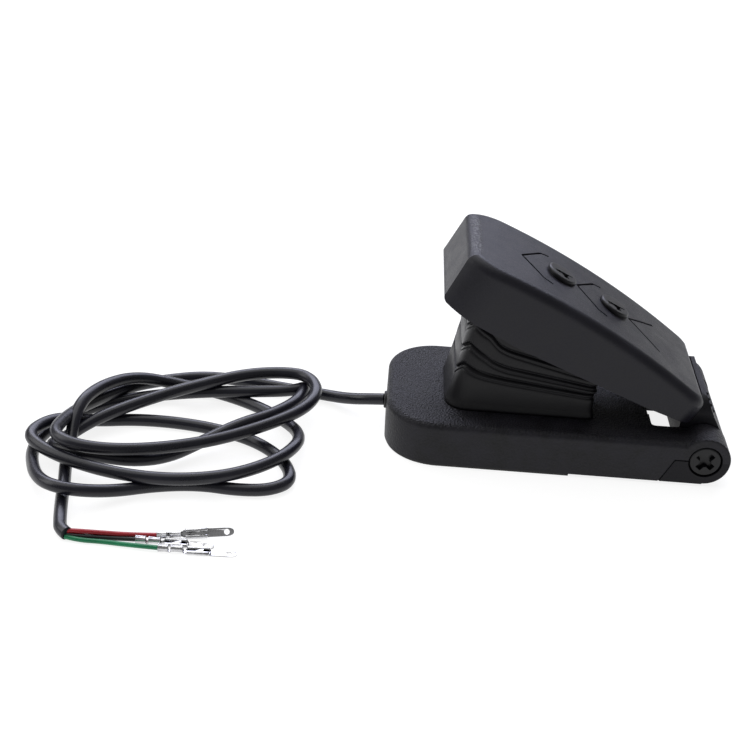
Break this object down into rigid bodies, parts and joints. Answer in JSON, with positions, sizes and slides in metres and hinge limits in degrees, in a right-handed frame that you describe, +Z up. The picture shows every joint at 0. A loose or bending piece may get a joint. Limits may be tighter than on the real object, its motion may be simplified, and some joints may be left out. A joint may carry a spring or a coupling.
{
  "type": "foot speed pedal",
  "caption": "Hinged treadle over a flat base with a rubber bellows and return spring between them, and a loosely coiled lead that ends in crimp terminals.",
  "frame": {"origin": "middle of the base's footprint on the floor, measured without the lead", "axes": "+X from the toe, where the lead leaves, to the hinge at the heel; +Z up"},
  "size_m": [0.3134, 0.1649, 0.0977],
  "materials": {
    "base_plastic": "fine spark-eroded grain, black",
    "cover_plastic": "fine grain, black",
    "pedal_plastic": "very fine grain with a soft sheen, black",
    "arm_plastic": "fine grain, black",
    "bush_plastic": "moulded acetal, off-white",
    "black_screw": "blackened steel, semi-gloss",
    "shaft_steel": "turned and zinc plated",
    "spring_steel": "drawn spring wire",
    "bellows_rubber": "smooth moulded rubber, black",
    "pad_rubber": "soft sheet rubber, black",
    "gland_rubber": "moulded rubber, black",
    "magnet_metal": "nickel plated",
    "board_laminate": "green solder mask on glass laminate",
    "sensor_plastic": "moulded epoxy, black",
    "lead_insulation": "smooth insulation; one red, one black and one green wire in one node",
    "cord_sheath": "smooth flexible sheath, black, glossy",
    "wire_red": "smooth insulation, red",
    "wire_black": "smooth insulation, black",
    "wire_green": "smooth insulation, green",
    "terminal_tin": "bright tin plate"
  },
  "bodies": {
    "base": {"base_housing": "base_plastic", "bottom_cover": "cover_plastic", "cover_screws": "black_screw", "toe_pad": "pad_rubber", "heel_pad": "pad_rubber", "hinge_shaft": "shaft_steel", "hinge_screw_near": "black_screw", "hinge_screw_far": "black_screw", "return_spring": "spring_steel", "bellows": "bellows_rubber", "sensor_board": "board_laminate", "hall_sensor": "sensor_plastic", "board_clip": "cover_plastic", "cord_gland": "gland_rubber", "cord_inner_end": "cord_sheath", "cord_clamp": "cover_plastic", "clamp_screws": "shaft_steel", "inner_leads": "lead_insulation", "cord_lead": "cord_sheath", "cord_coil": "cord_sheath", "cord_tail": "cord_sheath", "wire_red": "wire_red", "wire_black": "wire_black", "wire_green": "wire_green", "terminal_red": "terminal_tin", "terminal_black": "terminal_tin", "terminal_green": "terminal_tin"},
    "pedal": {"pedal_cover": "pedal_plastic", "pedal_screws": "black_screw", "pedal_arm": "arm_plastic", "barrel_bushes": "bush_plastic", "spring_seat": "arm_plastic", "magnet_blade": "arm_plastic", "magnet": "magnet_metal"}
  },
  "joints": [
    {"name": "pedal_press", "type": "hinge", "parent": "base", "child": "pedal", "pos_m": [0.0661, 0, 0.0128], "axis": [0, -1, 0], "range_deg": [0, 16], "stiffness_Nm_per_rad": 6, "springref_deg": -14.32, "deforming": ["return_spring", "bellows"]}
  ]
}
